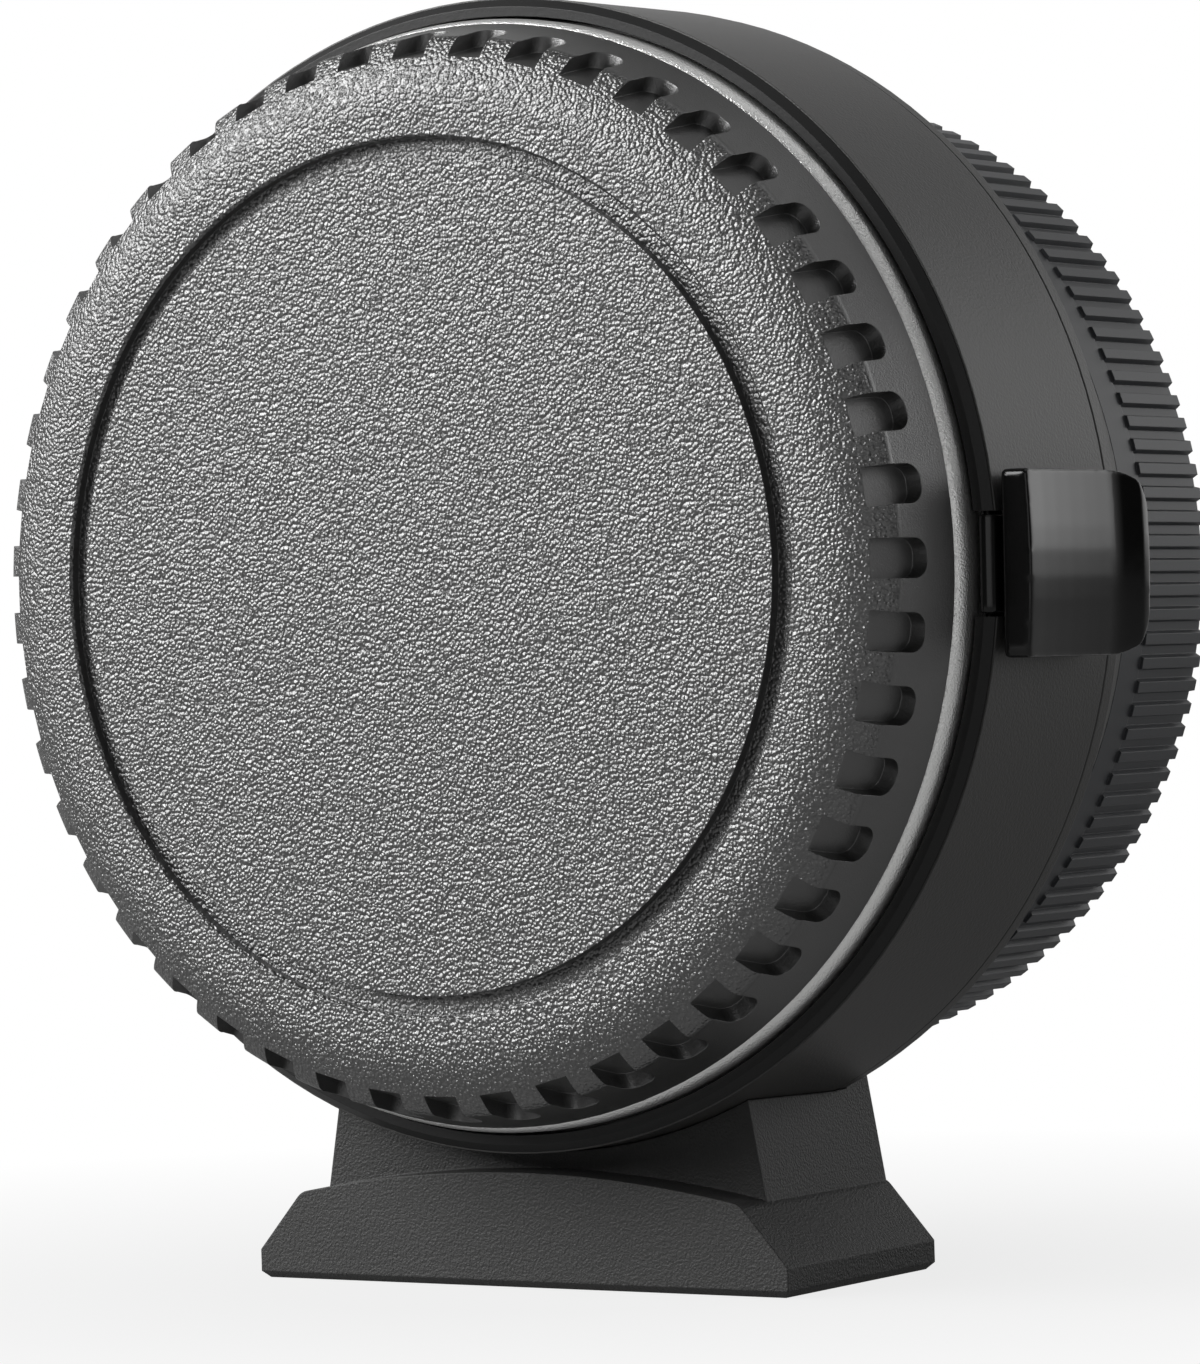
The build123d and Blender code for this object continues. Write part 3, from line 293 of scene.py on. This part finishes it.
def capMaterial(s):
    mat, tree, bsdf = startMaterial("capBlack", s["low"], s["rough"], specular=s["specular"])
    bsdf.inputs["IOR"].default_value = s["ior"]
    place, facing = objectCoords(tree)
    cells = tree.nodes.new("ShaderNodeTexVoronoi")
    cells.feature = "SMOOTH_F1"
    cells.inputs["Scale"].default_value = 1 / s["pebble"]
    cells.inputs["Smoothness"].default_value = s["melt"]
    warp = tree.nodes.new("ShaderNodeTexNoise")
    warp.inputs["Scale"].default_value = 1 / s["pebble"]
    shift = tree.nodes.new("ShaderNodeVectorMath")
    shift.operation = "MULTIPLY_ADD"
    shift.inputs[1].default_value = (s["stray"],) * 3
    tree.links.new(place, warp.inputs["Vector"])
    tree.links.new(warp.outputs["Color"], shift.inputs[0])
    tree.links.new(place, shift.inputs[2])
    tree.links.new(shift.outputs[0], cells.inputs["Vector"])
    turn = tree.nodes.new("ShaderNodeSeparateXYZ")
    tree.links.new(facing, turn.inputs[0])
    depth = tree.nodes.new("ShaderNodeSeparateXYZ")
    tree.links.new(place, depth.inputs[0])
    forward = rangeNode(tree, turn.outputs["Y"], *s["faceTurn"], 0.0, 1.0)
    front = rangeNode(tree, depth.outputs["Y"], *(capFront + d for d in s["faceDepth"]), 0.0, 1.0)
    pebbled = mathNode(tree, "MULTIPLY", forward, front)
    # painted shade in the pits between the pebbles, laid on top of the bump's own shading
    pitShadeMask = rangeNode(tree, cells.outputs["Distance"], *s["pitShadeRange"], 0.0, 1.0)
    dome = rangeNode(tree, cells.outputs["Distance"], 0.0, 1.0, 1.0, 0.0)
    drift = mathNode(tree, "MULTIPLY", noiseHeight(tree, place, s["driftSize"]), s["drift"])
    plain = mathNode(tree, "ADD", rangeNode(tree, pebbled, 0.0, 1.0, s["side"], 0.0), drift)
    tone = mathNode(tree, "ADD", mathNode(tree, "MULTIPLY", pitShadeMask, pebbled), plain)
    toneBetween(tree, bsdf, tone, s["low"], s["high"])
    soft = roundedEdges(tree, s["edge"])
    wrinkles = noiseHeight(tree, place, s["fine"], s["fineDetail"], s["fineRough"])
    fine = bumpOn(tree, wrinkles, s["wrinkle"], s["depth"], soft)
    grain = bumpOn(tree, dome, pebbled, s["depth"], fine)
    tree.links.new(grain, bsdf.inputs["Normal"])
    return mat


bodyPaint = {"low": (0.048, 0.047, 0.046), "high": (0.056, 0.055, 0.053), "rough": 0.45, "grain": 0.18 * mm,
             "strength": 0.8, "depth": 0.03 * mm, "edge": 0.12 * mm, "specular": 0.4}
footPaint = {"low": (0.036, 0.036, 0.036), "high": (0.044, 0.044, 0.043), "rough": 0.55, "grain": 0.15 * mm,
             "strength": 1.0, "depth": 0.07 * mm, "edge": 0.15 * mm, "specular": 0.3}
collarBlack = {"low": (0.012, 0.012, 0.012), "high": (0.018, 0.018, 0.018), "rough": 0.42, "grain": 0.2 * mm,
               "strength": 0.3, "depth": 0.03 * mm, "edge": 0.06 * mm, "specular": 0.25}
capGrey = {"low": (0.056, 0.059, 0.064), "high": (0.066, 0.069, 0.075), "rough": 0.48, "grain": 0.3 * mm,
           "strength": 0.15, "depth": 0.03 * mm, "edge": 0.08 * mm, "specular": 0.4}
innerBlack = {"low": (0.012, 0.012, 0.012), "high": (0.016, 0.016, 0.016), "rough": 0.7, "grain": 0.3 * mm,
              "strength": 0.2, "depth": 0.03 * mm, "edge": 0.05 * mm}
chipBlack = {"low": (0.020, 0.020, 0.022), "high": (0.026, 0.026, 0.028), "rough": 0.55, "grain": 0.15 * mm,
             "strength": 0.2, "depth": 0.02 * mm, "edge": 0.05 * mm}
leverGloss = {"low": (0.006, 0.006, 0.006), "high": (0.008, 0.008, 0.008), "rough": 0.13, "grain": 1.5 * mm,
              "strength": 0.02, "depth": 0.03 * mm, "edge": 0.12 * mm, "specular": 0.3}
flexAmber = {"low": (0.32, 0.15, 0.02), "high": (0.40, 0.20, 0.03), "rough": 0.35, "grain": 0.6 * mm,
             "strength": 0.05, "depth": 0.02 * mm, "edge": 0.03 * mm}
boardGreen = {"low": (0.01, 0.09, 0.04), "high": (0.02, 0.12, 0.05), "rough": 0.3, "grain": 0.5 * mm,
              "strength": 0.1, "depth": 0.02 * mm, "edge": 0.05 * mm}
silverSatin = {"low": (0.78, 0.78, 0.77), "high": (0.86, 0.86, 0.85), "rough": 0.42, "grain": 0.12 * mm,
               "strength": 1.0, "depth": 0.06 * mm, "edge": 0.08 * mm, "metal": 1.0}
plainSteel = {"low": (0.50, 0.50, 0.50), "high": (0.58, 0.58, 0.57), "rough": 0.35, "grain": 0.2 * mm,
              "strength": 0.1, "depth": 0.02 * mm, "edge": 0.05 * mm, "metal": 1.0}
goldPlate = {"low": (0.85, 0.60, 0.25), "high": (0.90, 0.66, 0.30), "rough": 0.25, "grain": 0.2 * mm,
             "strength": 0.1, "depth": 0.02 * mm, "edge": 0.05 * mm, "metal": 1.0}


def finishMaterial(name, s):
    mat, tree, bsdf = startMaterial(name, s["low"], s["rough"], s.get("metal", 0.0), s.get("specular", 0.5))
    place = objectCoords(tree)[0]
    toneBetween(tree, bsdf, noiseHeight(tree, place, slowDrift), s["low"], s["high"])
    soft = roundedEdges(tree, s["edge"])
    grain = bumpOn(tree, noiseHeight(tree, place, s["grain"]), s["strength"], s["depth"], soft)
    tree.links.new(grain, bsdf.inputs["Normal"])
    return mat


finishes = {
    "cap_black": capMaterial(capBlack),
    "cap_grey": finishMaterial("capGrey", capGrey),
    "silver": finishMaterial("silverSatin", silverSatin),
    "collar_black": finishMaterial("collarBlack", collarBlack),
    "body_paint": finishMaterial("bodyPaint", bodyPaint),
    "foot_paint": finishMaterial("footPaint", footPaint),
    "lever_gloss": finishMaterial("leverGloss", leverGloss),
    "steel": finishMaterial("plainSteel", plainSteel),
    "inner_plastic": finishMaterial("innerBlack", innerBlack),
    "gold": finishMaterial("goldPlate", goldPlate),
    "flex": finishMaterial("flexAmber", flexAmber),
    "board": finishMaterial("boardGreen", boardGreen),
    "chip": finishMaterial("chipBlack", chipBlack),
}

for part in frame["record"]["subparts"]:
    node = nodes[part["node"]]
    for slot in node.material_slots:
        slot.material = finishes[part["material_slot"]]
print("materials assigned")


# release lever, with the soft edges of a moulded and polished piece

leverSoft = {
    "merge": 0.002 * mm,
    "lean": -0.7,             # degrees round the optical axis, taken out while the edges are softened
    "voxel": 0.085 * mm,
    "factor": 0.5, "passes": 40,
}


def mergedCopy(solid, name, gap):
    bpy.ops.object.select_all(action="DESELECT")
    solid.select_set(True)
    bpy.context.view_layer.objects.active = solid
    bpy.ops.object.duplicate()
    copy = bpy.context.object
    copy.name = name
    bpy.ops.object.mode_set(mode="EDIT")
    bpy.ops.mesh.select_all(action="SELECT")
    bpy.ops.mesh.remove_doubles(threshold=gap)
    bpy.ops.object.mode_set(mode="OBJECT")
    return copy


def softLever(s):
    lever = mergedCopy(nodes["release_lever"], "leverGrip", s["merge"])
    lean = Matrix.Translation(axisPoint) @ Matrix.Rotation(math.radians(s["lean"]), 4, (0, -1, 0))
    lean = lean @ Matrix.Translation(-axisPoint)
    lever.data.transform(lean.inverted())
    lever.data.remesh_voxel_size = s["voxel"]
    bpy.ops.object.voxel_remesh()
    smooth = lever.modifiers.new("polish", "SMOOTH")
    smooth.factor = s["factor"]
    smooth.iterations = s["passes"]
    bpy.ops.object.modifier_apply(modifier=smooth.name)
    lever.data.transform(lean)
    bpy.ops.mesh.customdata_custom_splitnormals_clear()
    bpy.ops.object.shade_smooth()
    lever.data.materials.clear()
    lever.data.materials.append(finishes["lever_gloss"])
    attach(lever, "lever")
    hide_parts("release_lever")
    return lever


grip = softLever(leverSoft)
print("lever softened:", len(grip.data.polygons), "faces")


# lock spring, a smoothed copy hung on the housing

coilSet = {
    "merge": 0.002 * mm,
    "room": 0.02 * mm,        # left between it and the lever when pulled back
    "smooth": 35,             # degrees
}


def shorteningCoil(s):
    coil = mergedCopy(nodes["lock_spring"], "lockCoil", s["merge"])
    bpy.ops.mesh.customdata_custom_splitnormals_clear()
    bpy.ops.object.shade_smooth_by_angle(angle=math.radians(s["smooth"]))
    low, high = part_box("lock_spring")
    length = high[1] - low[1]
    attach(coil, "housing")
    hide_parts("lock_spring")
    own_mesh(coil)
    return length


coilLength = shorteningCoil(coilSet)
print("lock spring set to shorten, mm:", round(coilLength / mm, 2))
